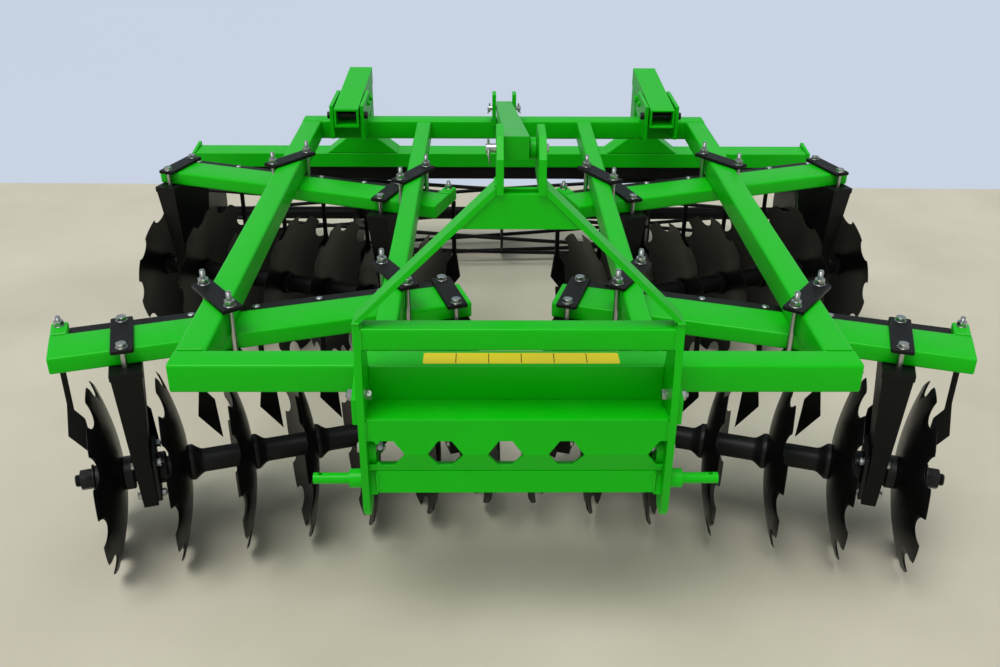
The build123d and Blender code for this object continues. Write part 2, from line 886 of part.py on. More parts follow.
def roller_unit_parts():
    """Arms, beam, cross tube and end plates that swing about the pivot pins."""
    parts = {}
    pivot_y = roller_arm_front + pivot_from_front
    pivot_z = roller_arm_bottom + roller_arm_height / 2
    left = roller_arm_centre - roller_arm_width / 2
    right = roller_arm_centre + roller_arm_width / 2
    outside = plate_x(arm_section(0), left, right)
    inside = plate_x(arm_section(roller_arm_wall), left + roller_arm_wall, right - roller_arm_wall)
    arm = outside - inside
    arm -= rod_x(pivot_radius + pivot_clearance, 0, roller_beam_half, pivot_y, pivot_z)
    parts["roller_arm_right"] = arm
    parts["roller_arm_left"] = flipped(arm)
    beam_back = roller_beam_front + roller_beam_depth
    beam_bottom = roller_beam_top - roller_beam_height
    beam = block(
        -roller_beam_half,
        roller_beam_half,
        roller_beam_front,
        beam_back,
        beam_bottom,
        roller_beam_top,
    )
    post = plate_y(
        [
            (roller_arm_centre - roller_foot_half, roller_beam_top),
            (roller_arm_centre + roller_foot_half, roller_beam_top),
            (roller_arm_centre + roller_post_half, roller_beam_top + roller_foot_height),
            (roller_arm_centre + roller_post_half, roller_arm_bottom + roller_arm_climb),
            (roller_arm_centre - roller_post_half, roller_arm_bottom + roller_arm_climb),
            (roller_arm_centre - roller_post_half, roller_beam_top + roller_foot_height),
        ],
        roller_beam_front,
        beam_back,
    )
    parts["roller_beam"] = bundle([beam, both_sides(post - outside)])
    tube_front = roller_beam_front + roller_tube_setback
    parts["roller_frame_tube"] = block(
        -roller_beam_half,
        roller_beam_half,
        tube_front,
        tube_front + roller_tube,
        beam_bottom - roller_tube,
        beam_bottom,
    )
    axle_y = (roller_beam_front + beam_back) / 2 + roller_axle_back
    cheek = plate_x(
        [
            (roller_beam_front, roller_beam_top + 2),
            (beam_back + 10, roller_beam_top + 16),
            (beam_back + 30, roller_beam_top - 80),
            (axle_y + 60, roller_radius - 20),
            (axle_y + 36, roller_radius - 60),
            (axle_y - 36, roller_radius - 60),
            (axle_y - 60, roller_radius - 20),
            (roller_beam_front, roller_beam_top - 120),
        ],
        roller_beam_half,
        roller_beam_half + roller_plate_thickness,
    )
    cheek -= rod_x(
        roller_journal_radius + running_fit,
        roller_beam_half - 10,
        roller_beam_half + 40,
        axle_y,
        roller_radius,
    )
    parts["roller_end_plates"] = both_sides(cheek)
    return parts


def roller_drum_parts():
    """The cage: notched rims on a tube, and bars wound round them, straight from rim to rim."""
    axle_y = roller_beam_front + roller_beam_depth / 2 + roller_axle_back
    half = roller_beam_half - roller_side_gap
    journal_end = roller_beam_half + roller_plate_thickness + roller_journal_end
    core = rod_x(roller_axle_radius, -half, half, axle_y, roller_radius)
    for side in (-1, 1):
        core += rod_x(
            roller_journal_radius, side * half, side * journal_end, axle_y, roller_radius
        )
    ring = roller_radius - roller_bar_radius
    reach = 2 * roller_radius
    first = -half + roller_rim_thickness / 2 + roller_bar_end
    gap = -2 * first / (roller_rims - 1)
    places = [first + gap * step for step in range(roller_rims)]
    corners = [[] for _ in range(roller_bars)]
    rims = []
    for step, x in enumerate(places):
        x0 = x - roller_rim_thickness / 2
        x1 = x + roller_rim_thickness / 2
        rim = rod_x(roller_radius - roller_rim_inset, x0, x1, axle_y, roller_radius)
        rim -= rod_x(roller_axle_radius, x0 - 1, x1 + 1, axle_y, roller_radius)
        for index in range(roller_bars):
            turn = radians(360 / roller_bars * index + roller_twist * step / (roller_rims - 1))
            y = axle_y + ring * sin(turn)
            z = roller_radius - ring * cos(turn)
            rim -= rod_x(roller_bar_radius + roller_notch_gap, x0 - 1, x1 + 1, y, z)
            corners[index].append(Vector(x, y, z))
        rims.append(rim)
    lengths = []
    for points in corners:
        path = Polyline(*points)
        section = Plane(origin=points[0], z_dir=points[1] - points[0]) * Circle(roller_bar_radius)
        bar = sweep(section, path=path, transition=Transition.RIGHT)
        for x0, x1 in zip([-half] + places[1:-1], places[1:-1] + [half]):
            slab = block(x0, x1, axle_y - reach, axle_y + reach, -reach, 2 * reach)
            lengths.append(bar & slab)
    return {"roller_cage": bundle([core] + rims + lengths)}


def build_all():
    parts = {}
    parts.update(frame_parts())
    parts.update(headstock_parts())
    parts.update(strut_parts())
    crossings = (
        (rail_centre, beam_size / 2),
        (inner_rail_offset, inner_rail_width / 2),
    )
    for label, angle, x, y, length, near_standard in gangs:
        standard_places = (near_standard, far_standard)
        side = -1 if x < 0 else 1
        own, other = ("left", "right") if side < 0 else ("right", "left")
        place = Location((x, y, 0), (0, 0, angle))
        clamps = [place * standard_strap(middle) for middle in standard_places]
        for offset, half_rail in crossings:
            at_x = side * offset
            at_y = y + (at_x - x) * tan(radians(angle))
            clamps.append(rail_strap(at_x, at_y, angle, half_rail))
        local = gang_parts(length, standard_places)
        pieces = {name: place * shape for name, shape in local.items()}
        pieces["clamps"] = bundle(clamps)
        for name, shape in pieces.items():
            parts[f"{name}_{label}_{own}"] = shape
            parts[f"{name}_{label}_{other}"] = flipped(shape)
    parts.update(roller_fixed_parts())
    parts.update(roller_unit_parts())
    parts.update(roller_drum_parts())
    return parts


parts = build_all()
whole = Compound(children=[solid for shape in parts.values() for solid in shape.solids()])
bounds = whole.bounding_box()
shift = Pos(0, -(bounds.min.Y + bounds.max.Y) / 2, 0)

os.makedirs("parts", exist_ok=True)
for name, shape in parts.items():
    export_step(shift * shape, f"parts/{name}.step")
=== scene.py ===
"""A mounted disc harrow with a cage roller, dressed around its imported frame.

Sizes are in millimetres in the harrow's own frame: X to the right, Y to the rear from the
front beam's front face, Z up from the ground.  dressed() moves them to the row's frame in
metres when it writes a mesh.
"""
import json
import math

import bmesh
import bpy
import numpy as np
from mathutils import Matrix, Vector

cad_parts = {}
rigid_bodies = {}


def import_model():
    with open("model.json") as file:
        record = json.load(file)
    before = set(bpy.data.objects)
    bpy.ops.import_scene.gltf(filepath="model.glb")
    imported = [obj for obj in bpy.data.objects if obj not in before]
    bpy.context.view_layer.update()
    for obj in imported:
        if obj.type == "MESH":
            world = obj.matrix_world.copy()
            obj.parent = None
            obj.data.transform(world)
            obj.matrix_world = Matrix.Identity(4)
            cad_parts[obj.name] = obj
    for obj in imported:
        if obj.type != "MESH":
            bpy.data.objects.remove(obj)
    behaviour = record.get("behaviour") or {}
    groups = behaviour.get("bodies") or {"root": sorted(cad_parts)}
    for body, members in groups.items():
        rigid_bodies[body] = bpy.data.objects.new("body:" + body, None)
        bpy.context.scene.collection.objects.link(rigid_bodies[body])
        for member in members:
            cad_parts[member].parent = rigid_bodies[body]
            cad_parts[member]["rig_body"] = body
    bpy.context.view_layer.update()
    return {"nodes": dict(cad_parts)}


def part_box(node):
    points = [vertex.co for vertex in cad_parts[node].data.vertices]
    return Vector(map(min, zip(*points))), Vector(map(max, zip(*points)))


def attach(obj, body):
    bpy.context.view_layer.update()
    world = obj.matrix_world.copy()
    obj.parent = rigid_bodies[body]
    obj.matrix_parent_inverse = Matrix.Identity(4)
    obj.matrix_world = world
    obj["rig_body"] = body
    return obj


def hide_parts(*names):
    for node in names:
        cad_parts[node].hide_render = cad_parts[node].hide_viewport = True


bl_info = {
    "name": "Disc harrow",
    "version": (1, 0, 0),
    "blender": (4, 5, 0),
    "location": "View3D > Sidebar > Harrow",
    "description": "Builds the discs, fasteners, welds and finishes of a mounted disc harrow",
    "category": "Add Mesh",
}

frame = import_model()
front_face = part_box("front_beam")[0].y

MM = 0.001
FRAME_TOP = 798
FRAME_HALF = 857
FRAME_LENGTH = 2190
TUBE = 80
GANG_TOP = 718
GANG_BOTTOM = 668
GANG_HALF = 70
PLATE_BOTTOM = 648
AXLE_HEIGHT = 280
STRAP = 12
ROD_LINE = 82
ROD_RADIUS = 8
RAILS = ((817, 40), (340, 30))
SEATS = [68 + 54 + 185 * index for index in range(7)]
STANDARD_HALF = 20.5
SPOOL_GAP = 6
SIDE_PLATE = 380
INNER_FACE = 362
HITCH_PLATE = 18
CROSS_TUBE = (-89, 928)
BRACKET_BOLT = (-60, 750)
HITCH_BOLT = (-72, 606)
BRACE_FRONT = (12, 1343)
BRACE_REAR = (2110, 854)
ARM = 650
LUG_FACE = 50 + 5.5 + 14
ROLLER = (2567, 205)
ROLLER_HALF = 1426
MIRROR = np.diag((-1.0, 1.0, 1.0, 1.0))

# camera: focal length in millimetres, degrees, and metres from the middle and the front face
LENS = 37.03
YAW, PITCH, ROLL = -0.84, 27.78, 0.42
CAMERA_X, CAMERA_AHEAD = -0.0733, 2.1905

# gang: (X, Y) of the beam's end that the discs' hollows face, angle, side that it is drawn
# for, middles of its two standards, length of its beam
GANGS = {
    "front": ((-1248, 240), 17.2, "left", (190, 1112), 1162),
    "rear": ((236, 1368), 19.4, "right", (210, 1112), 1162),
}


# ------------------------------------------------------------------ places
def turn_z(degrees):
    return np.array(Matrix.Rotation(math.radians(degrees), 4, "Z"))


def at(x, y, z):
    return np.array(Matrix.Translation((x, y, z)))


def aimed(origin, direction, across=(0, 0, 1)):
    """A place whose own Z lies along direction."""
    z = np.array(direction, float)
    z /= np.linalg.norm(z)
    side = np.cross(np.array(across, float), z)
    if np.linalg.norm(side) < 1e-6:
        side = np.cross((0.0, 1.0, 0.0), z)
    side /= np.linalg.norm(side)
    place = np.eye(4)
    place[:3, 0] = side
    place[:3, 1] = np.cross(z, side)
    place[:3, 2] = z
    place[:3, 3] = origin
    return place


def gang_place(row, side):
    """Where a gang's own frame lies; the other side is its mirror image."""
    (x, y), angle, own, _, _ = GANGS[row]
    place = at(x, y, 0) @ turn_z(angle)
    if side != own:
        place = MIRROR @ place
    return place


def both_gang_sides():
    return [(row, side) for row in GANGS for side in ("left", "right")]


# ------------------------------------------------------------------ surfaces
def quads(rows, columns, wrap_rows=False, wrap_columns=True):
    """Corner numbers of each cell of a grid of points, row by row."""
    i = np.arange(rows if wrap_rows else rows - 1)[:, None]
    j = np.arange(columns if wrap_columns else columns - 1)[None, :]
    after = (j + 1) % columns
    above = (i + 1) % rows
    cells = np.stack(
        [i * columns + j, i * columns + after, above * columns + after, above * columns + j], -1
    )
    return cells.reshape(-1, 4)


def grid(points, wrap_rows=False, wrap_columns=True):
    """A surface from an array of rows by columns by 3."""
    rows, columns = points.shape[:2]
    return points.reshape(-1, 3), quads(rows, columns, wrap_rows, wrap_columns)


def placed(surface, place):
    """The surface moved to a place."""
    points, cells = surface
    moved = points @ place[:3, :3].T + place[:3, 3]
    return moved, cells


def rings(radius, angle, height):
    """Rings about Z at each height."""
    x, y = radius * np.cos(angle), radius * np.sin(angle)
    return grid(np.stack([x, y, np.broadcast_to(height, x.shape)], -1))


def lathe(profile, sides=32):
    """Profile rows (radius, height) turned about Z: each row is a circle of that radius."""
    rows = np.asarray(profile, float)
    angle = np.linspace(0, 2 * np.pi, sides, endpoint=False)
    return rings(rows[:, :1], angle, rows[:, 1:2])


def lathe_x(profile, height, sides=40):
    """Profile rows (x, radius) turned about the line along X at a height."""
    rows = np.asarray(profile, float)[:, ::-1]
    return placed(lathe(rows, sides), aimed((0, 0, height), (1, 0, 0)))


def hexagon(rows, flats, sides=36):
    """Rows (circle radius, height): each row's radius is the smaller of its circle's and of
    a hexagon's of that size across flats, so that a cone leaves arcs on the hexagon's sides."""
    rows = np.asarray(rows, float)
    angle = np.linspace(0, 2 * np.pi, sides, endpoint=False)
    sixth = (angle + np.pi / 6) % (np.pi / 3) - np.pi / 6
    return rings(np.minimum(rows[:, :1], flats / 2 / np.cos(sixth)), angle, rows[:, 1:2])


def nut(flats, height):
    """A hexagon with a cone taken off both faces."""
    half = flats / 2
    drop = half * 0.2 * 0.6
    steps = np.linspace(0, 1, 5)
    low = [(half * (0.95 + 0.22 * t), drop * t) for t in steps]
    high = [(radius, height - z) for radius, z in reversed(low)]
    return hexagon([(0, 0)] + low + high + [(0, height)], flats)


def bolt_head(flats, height):
    """A hexagon with a flat underside and a cone and a shallow dome on top."""
    half = flats / 2
    drop = half * 0.2 * 0.6
    cone = [(half * (1.17 - 0.22 * t), height - drop * (1 - t)) for t in np.linspace(0, 1, 5)]
    top = [(half * 0.6, height + 0.6), (0, height + 0.9)]
    return hexagon([(0, 0), (half * 1.17, 0)] + cone + top, flats)


def washer(radius, thickness):
    """A disc with its edges broken."""
    edge = min(0.6, thickness / 4)
    rows = [(0, 0), (radius - edge, 0), (radius, edge)]
    rows += [(radius, thickness - edge), (radius - edge, thickness), (0, thickness)]
    return lathe(rows, 28)


def thread(radius, z0, z1, pitch=2.4, sides=18):
    """A rod whose radius swings between crest and root once in each pitch, with a cone end."""
    count = max(2, int((z1 - z0 - 3) / (pitch / 2)))
    z = np.linspace(z0, z1 - 3, count)
    swing = radius - pitch * 0.24 * (1 + np.cos(2 * np.pi * (z - z0) / pitch))
    rows = [(0, z0)] + list(zip(swing, z)) + [(radius * 0.82, z1 - 0.5), (0, z1)]
    return lathe(rows, sides)


def stacked(rows):
    """Rows (outline, height) joined into one surface."""
    return grid(np.stack([np.column_stack([xy, np.full(len(xy), z)]) for xy, z in rows]))


def plate(outline, z0, z1, edge=1.5):
    """A convex outline carried up from z0 to z1, drawn in by edge at both faces."""
    corners = np.asarray(outline, float)
    ahead = np.roll(corners, -1, 0) - corners
    behind = corners - np.roll(corners, 1, 0)
    ahead /= np.linalg.norm(ahead, axis=1)[:, None]
    behind /= np.linalg.norm(behind, axis=1)[:, None]
    inward = np.stack([-(ahead + behind)[:, 1], (ahead + behind)[:, 0]], -1)
    inward /= np.linalg.norm(inward, axis=1)[:, None]
    middle = corners.mean(0)
    inward *= np.sign(((middle - corners) * inward).sum(1))[:, None]
    inner = corners + inward * edge
    centre = np.broadcast_to(middle, corners.shape)
    rows = [(centre, z0), (inner, z0), (corners, z0 + edge)]
    return stacked(rows + [(corners, z1 - edge), (inner, z1), (centre, z1)])


def rounded(width, depth, radius, steps=6):
    """Corners of a rectangle about the origin, each corner an arc."""
    arc = np.linspace(0, np.pi / 2, steps)
    centres = [(1, 1), (-1, 1), (-1, -1), (1, -1)]
    pieces = []
    for index, (sx, sy) in enumerate(centres):
        turn = arc + index * np.pi / 2
        pieces.append(
            np.column_stack(
                [
                    sx * (width / 2 - radius) + radius * np.cos(turn),
                    sy * (depth / 2 - radius) + radius * np.sin(turn),
                ]
            )
        )
    return np.concatenate(pieces)


def tube(start, end, width, height, radius=9, edge=2.5):
    """A rounded rectangle carried from start to end, with its end faces' edges broken."""
    start = np.array(start, float)
    end = np.array(end, float)
    length = np.linalg.norm(end - start)
    section = rounded(width, height, radius)
    small = rounded(width - 2 * edge, height - 2 * edge, radius - edge * 0.6)
    centre = section * 0
    rows = [(centre, 0), (small, 0), (section, edge)]
    rows += [(section, length - edge), (small, length), (centre, length)]
    return placed(stacked(rows), aimed(start, end - start))


def carried(path, radius, sides=8, closed=False, ripple=0.0, pitch=6.0):
    """A circle carried along a path; ripple makes its radius swell once in each pitch."""
    path = np.asarray(path, float)
    if closed:
        along = np.roll(path, -1, 0) - np.roll(path, 1, 0)
    else:
        along = np.gradient(path, axis=0)
    along /= np.linalg.norm(along, axis=1)[:, None]
    level = abs(along[:, 2]).mean() < 0.9
    guide = np.array((0.0, 0.0, 1.0) if level else (1.0, 0.0, 0.0))
    side = np.cross(guide, along)
    side /= np.linalg.norm(side, axis=1)[:, None]
    up = np.cross(along, side)
    steps = np.linalg.norm(np.diff(path, axis=0, prepend=path[:1]), axis=1).cumsum()
    size = radius * (1 + ripple * np.abs(np.sin(np.pi * steps / pitch)))
    angle = np.linspace(0, 2 * np.pi, sides, endpoint=False)
    cosine, sine = np.cos(angle)[None, :, None], np.sin(angle)[None, :, None]
    ring = cosine * side[:, None, :] + sine * up[:, None, :]
    points = path[:, None, :] + size[:, None, None] * ring
    if not closed:
        first = np.broadcast_to(path[:1, None, :], (1, sides, 3))
        last = np.broadcast_to(path[-1:, None, :], (1, sides, 3))
        points = np.concatenate([first, points, last])
    return grid(points, wrap_rows=closed)


def bead(start, end, radius=3.4):
    """A weld bead: a rippled rod between two points."""
    start = np.array(start, float)
    end = np.array(end, float)
    count = max(4, int(np.linalg.norm(end - start) / 2.2))
    share = np.linspace(0, 1, count)[:, None]
    return carried(start + (end - start) * share, radius, 7, ripple=0.28)


# ------------------------------------------------------------------ meshes
def dressed(name, groups, body, stands_for=(), smooth_angle=35):
    """Writes surfaces into one mesh object that rides on a body.

    groups pairs each material with its surfaces."""
    mesh = bpy.data.meshes.new(name)
    points, cells, paint = [], [], []
    offset = 0
    for index, (material, surfaces) in enumerate(groups):
        mesh.materials.append(material)
        for part_points, part_cells in surfaces:
            points.append(part_points)
            cells.append(part_cells + offset)
            paint.append(np.full(len(part_cells), index))
            offset += len(part_points)
    points = np.concatenate(points) * MM + np.array((0, front_face, 0))
    cells = np.concatenate(cells)
    mesh.from_pydata(points.tolist(), [], cells.tolist())
    mesh.polygons.foreach_set("material_index", np.concatenate(paint).astype(np.int32))
    shell = bmesh.new()
    shell.from_mesh(mesh)
    bmesh.ops.remove_doubles(shell, verts=shell.verts, dist=1e-6)
    bmesh.ops.dissolve_degenerate(shell, edges=shell.edges, dist=1e-7)
    bmesh.ops.recalc_face_normals(shell, faces=shell.faces)
    shell.to_mesh(mesh)
    shell.free()
    mesh.shade_smooth()
    mesh.set_sharp_from_angle(angle=math.radians(smooth_angle))
    piece = bpy.data.objects.new(name, mesh)
    bpy.context.scene.collection.objects.link(piece)
    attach(piece, body)
    if stands_for:
        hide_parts(*stands_for)
    return piece


def softened(node, material, width, segments=3):
    """A copy of a CAD node with its sharp edges rounded, which stands for the node."""
    source = frame["nodes"][node]
    mesh = source.data.copy()
    mesh.name = node + "_shape"
    shell = bmesh.new()
    shell.from_mesh(mesh)
    bmesh.ops.remove_doubles(shell, verts=shell.verts, dist=1e-6)
    bmesh.ops.dissolve_limit(
        shell, angle_limit=math.radians(0.5), verts=shell.verts, edges=shell.edges
    )
    bmesh.ops.recalc_face_normals(shell, faces=shell.faces)
    shell.to_mesh(mesh)
    shell.free()
    mesh.materials.clear()
    mesh.materials.append(material)
    mesh.shade_smooth()
    mesh.set_sharp_from_angle(angle=math.radians(40))
    piece = bpy.data.objects.new(node + "_shape", mesh)
    bpy.context.scene.collection.objects.link(piece)
    bevel = piece.modifiers.new("edges", "BEVEL")
    bevel.width = width * MM
    bevel.segments = segments
    bevel.limit_method = "ANGLE"
    bevel.angle_limit = math.radians(40)
    bevel.use_clamp_overlap = True
    bevel.harden_normals = True
    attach(piece, source["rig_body"])
    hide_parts(node)
    return piece


# ------------------------------------------------------------------ finishes
def surface_group():
    """Unevenness of a sprayed or cast surface: a mask of patches and a normal."""
    name = "harrow_surface"
    if name in bpy.data.node_groups:
        return bpy.data.node_groups[name]
    group = bpy.data.node_groups.new(name, "ShaderNodeTree")
    for label, low, default in (
        ("Patch Scale", 0, 6.0),
        ("Grain Scale", 0, 300.0),
        ("Grain Height", 0, 0.05),
    ):
        socket = group.interface.new_socket(label, in_out="INPUT", socket_type="NodeSocketFloat")
        socket.default_value = default
        socket.min_value = low
    group.interface.new_socket("Patches", in_out="OUTPUT", socket_type="NodeSocketFloat")
    group.interface.new_socket("Grain", in_out="OUTPUT", socket_type="NodeSocketFloat")
    group.interface.new_socket("Normal", in_out="OUTPUT", socket_type="NodeSocketVector")
    nodes, links = group.nodes, group.links
    given = nodes.new("NodeGroupInput")
    result = nodes.new("NodeGroupOutput")
    place = nodes.new("ShaderNodeTexCoord")
    patches = nodes.new("ShaderNodeTexNoise")
    patches.inputs["Detail"].default_value = 4.0
    grain = nodes.new("ShaderNodeTexNoise")
    grain.inputs["Detail"].default_value = 2.0
    bump = nodes.new("ShaderNodeBump")
    bump.inputs["Distance"].default_value = 0.001
    links.new(place.outputs["Object"], patches.inputs["Vector"])
    links.new(place.outputs["Object"], grain.inputs["Vector"])
    links.new(given.outputs["Patch Scale"], patches.inputs["Scale"])
    links.new(given.outputs["Grain Scale"], grain.inputs["Scale"])
    links.new(given.outputs["Grain Height"], bump.inputs["Strength"])
    links.new(grain.outputs["Fac"], bump.inputs["Height"])
    links.new(patches.outputs["Fac"], result.inputs["Patches"])
    links.new(grain.outputs["Fac"], result.inputs["Grain"])
    links.new(bump.outputs["Normal"], result.inputs["Normal"])
    return group


def dust_group():
    """Dust that settles on what faces up and thickens in patches: a mask."""
    name = "harrow_dust"
    if name in bpy.data.node_groups:
        return bpy.data.node_groups[name]
    group = bpy.data.node_groups.new(name, "ShaderNodeTree")
    socket = group.interface.new_socket("Amount", in_out="INPUT", socket_type="NodeSocketFloat")
    socket.default_value = 0.2
    group.interface.new_socket("Mask", in_out="OUTPUT", socket_type="NodeSocketFloat")
    nodes, links = group.nodes, group.links
    given = nodes.new("NodeGroupInput")
    result = nodes.new("NodeGroupOutput")
    place = nodes.new("ShaderNodeTexCoord")
    shape = nodes.new("ShaderNodeNewGeometry")
    split = nodes.new("ShaderNodeSeparateXYZ")
    upward = nodes.new("ShaderNodeMapRange")
    upward.inputs["From Min"].default_value = -0.2
    upward.inputs["From Max"].default_value = 1.0
    noise = nodes.new("ShaderNodeTexNoise")
    noise.inputs["Scale"].default_value = 9.0
    noise.inputs["Detail"].default_value = 6.0
    noise.inputs["Roughness"].default_value = 0.65
    patches = nodes.new("ShaderNodeMapRange")
    patches.inputs["From Min"].default_value = 0.4
    patches.inputs["From Max"].default_value = 0.75
    both = nodes.new("ShaderNodeMath")
    both.operation = "MULTIPLY"
    scaled = nodes.new("ShaderNodeMath")
    scaled.operation = "MULTIPLY"
    links.new(shape.outputs["Normal"], split.inputs["Vector"])
    links.new(split.outputs["Z"], upward.inputs["Value"])
    links.new(place.outputs["Object"], noise.inputs["Vector"])
    links.new(noise.outputs["Fac"], patches.inputs["Value"])
    links.new(upward.outputs["Result"], both.inputs[0])
    links.new(patches.outputs["Result"], both.inputs[1])
    links.new(both.outputs["Value"], scaled.inputs[0])
    links.new(given.outputs["Amount"], scaled.inputs[1])
    links.new(scaled.outputs["Value"], result.inputs["Mask"])
    return group


def finish(
    name, colour, second, roughness, metallic=0.0, specular=0.5, patch_scale=6.0,
    grain_scale=300.0, grain_height=0.05, dust=0.0, dust_colour=(0.42, 0.38, 0.32),
):
    """A material: two shades in patches, dust on top, and roughness that follows the patches."""
    if name in bpy.data.materials:
        return bpy.data.materials[name]
    material = bpy.data.materials.new(name)
    material.use_nodes = True
    nodes, links = material.node_tree.nodes, material.node_tree.links
    shader = nodes["Principled BSDF"]
    shader.inputs["Metallic"].default_value = metallic
    shader.inputs["Specular IOR Level"].default_value = specular
    uneven = nodes.new("ShaderNodeGroup")
    uneven.node_tree = surface_group()
    uneven.inputs["Patch Scale"].default_value = patch_scale
    uneven.inputs["Grain Scale"].default_value = grain_scale
    uneven.inputs["Grain Height"].default_value = grain_height
    shades = nodes.new("ShaderNodeMix")
    shades.data_type = "RGBA"
    shades.inputs["A"].default_value = (*colour, 1)
    shades.inputs["B"].default_value = (*second, 1)
    links.new(uneven.outputs["Patches"], shades.inputs["Factor"])
    tone = shades.outputs["Result"]
    if dust:
        settled = nodes.new("ShaderNodeGroup")
        settled.node_tree = dust_group()
        settled.inputs["Amount"].default_value = dust
        over = nodes.new("ShaderNodeMix")
        over.data_type = "RGBA"
        over.inputs["B"].default_value = (*dust_colour, 1)
        links.new(settled.outputs["Mask"], over.inputs["Factor"])
        links.new(tone, over.inputs["A"])
        tone = over.outputs["Result"]
    links.new(tone, shader.inputs["Base Color"])
    gloss = nodes.new("ShaderNodeMapRange")
    gloss.inputs["To Min"].default_value = roughness[0]
    gloss.inputs["To Max"].default_value = roughness[1]
    links.new(uneven.outputs["Patches"], gloss.inputs["Value"])
    links.new(gloss.outputs["Result"], shader.inputs["Roughness"])
    links.new(uneven.outputs["Normal"], shader.inputs["Normal"])
    return material


def chosen(name):
    return np.array(getattr(bpy.context.scene.harrow_paint, name))


def green_paint():
    base = chosen("green")
    return finish(
        "frame_green", base * 0.94, base * 1.06, (0.26, 0.40), specular=0.2,
        grain_scale=420.0, grain_height=0.08, dust=0.02,
    )


def black_paint():
    base = chosen("black")
    return finish(
        "bracket_black", base * 0.6, base * 1.2, (0.36, 0.5), specular=0.14,
        grain_scale=380.0, grain_height=0.12, dust=0.015,
    )


def disc_paint():
    base = chosen("disc")
    return finish(
        "disc_black", base * 0.6, base * 1.3, (0.24, 0.38), specular=0.13, patch_scale=9.0,
        grain_scale=260.0, grain_height=0.10, dust=0.01,
    )


def cast_paint():
    base = chosen("disc")
    return finish(
        "spool_black", base * 0.8, base * 1.5, (0.36, 0.52), specular=0.3, patch_scale=14.0,
        grain_scale=520.0, grain_height=0.35, dust=0.015,
    )


def zinc():
    base = chosen("zinc")
    return finish(
        "bolt_zinc", base * 0.85, base * 1.1, (0.22, 0.42), metallic=1.0, patch_scale=60.0,
        grain_scale=900.0, grain_height=0.08,
    )


def weld_paint():
    base = chosen("green")
    return finish(
        "weld_green", base * 0.9, base * 1.05, (0.3, 0.45), specular=0.35,
        grain_scale=700.0, grain_height=0.3,
    )


def yellow_film():
    return finish(
        "yellow_film", (0.92, 0.72, 0.01), (0.98, 0.78, 0.01), (0.35, 0.45), specular=0.3,
        grain_height=0.02,
    )


def backdrop_paint():
    """Pale wall paint that looks even to the camera and lets light through from behind."""
    material = finish(
        "backdrop_paint", (0.56, 0.63, 0.75), (0.60, 0.67, 0.79), (0.8, 0.9), specular=0.1,
        patch_scale=0.4,
    )
    nodes, links = material.node_tree.nodes, material.node_tree.links
    shape = nodes.new("ShaderNodeNewGeometry")
    sight = nodes.new("ShaderNodeLightPath")
    clear = nodes.new("ShaderNodeBsdfTransparent")
    even = nodes.new("ShaderNodeEmission")
    even.inputs["Strength"].default_value = 1.0
    seen = nodes.new("ShaderNodeMixShader")
    either = nodes.new("ShaderNodeMixShader")
    shader = nodes["Principled BSDF"]
    links.new(shader.inputs["Base Color"].links[0].from_socket, even.inputs["Color"])
    links.new(sight.outputs["Is Camera Ray"], seen.inputs["Fac"])
    links.new(shader.outputs["BSDF"], seen.inputs[1])
    links.new(even.outputs["Emission"], seen.inputs[2])
    links.new(shape.outputs["Backfacing"], either.inputs["Fac"])
    links.new(seen.outputs["Shader"], either.inputs[1])
    links.new(clear.outputs["BSDF"], either.inputs[2])
    links.new(either.outputs["Shader"], nodes["Material Output"].inputs["Surface"])
    return material


# ------------------------------------------------------------------ settings
class HarrowPaint(bpy.types.PropertyGroup):
    green: bpy.props.FloatVectorProperty(
        name="Frame green", description="Paint of the frame", subtype="COLOR",
        default=(0.003, 0.530, 0.003), min=0, max=1,
    )
    black: bpy.props.FloatVectorProperty(
        name="Bracket black", description="Paint of standards, straps and scrapers",
        subtype="COLOR", default=(0.006, 0.006, 0.006), min=0, max=1,
    )
    disc: bpy.props.FloatVectorProperty(
        name="Disc black", description="Paint of discs and spools", subtype="COLOR",
        default=(0.005, 0.005, 0.005), min=0, max=1,
    )
    zinc: bpy.props.FloatVectorProperty(
        name="Zinc", description="Plating of the bolts", subtype="COLOR",
        default=(0.46, 0.48, 0.47), min=0, max=1,
    )


class HarrowDiscs(bpy.types.PropertyGroup):
    diameter: bpy.props.FloatProperty(
        name="Diameter", description="Disc over its teeth, in millimetres", default=560.0, min=300
    )
    dish: bpy.props.FloatProperty(
        name="Dish", description="Depth of the hollow, in millimetres", default=54.0, min=5
    )
    thickness: bpy.props.FloatProperty(
        name="Thickness", description="Plate thickness, in millimetres", default=5.0, min=1
    )
    notches: bpy.props.IntProperty(
        name="Notches", description="Notches round the rim", default=10, min=3
    )
    notch_radius: bpy.props.FloatProperty(
        name="Notch radius", description="Radius of a notch, in millimetres", default=44.0, min=5
    )
    bevel: bpy.props.FloatProperty(
        name="Ground edge", description="Width of the sharpened edge, in millimetres",
        default=9.0, min=0.5,
    )


class HarrowFasteners(bpy.types.PropertyGroup):
    flats: bpy.props.FloatProperty(
        name="Across flats", description="Nuts of the clamp rods, in millimetres",
        default=27.0, min=5,
    )
    stand: bpy.props.FloatProperty(
        name="Thread shown", description="Thread above a clamp nut, in millimetres",
        default=26.0, min=0,
    )


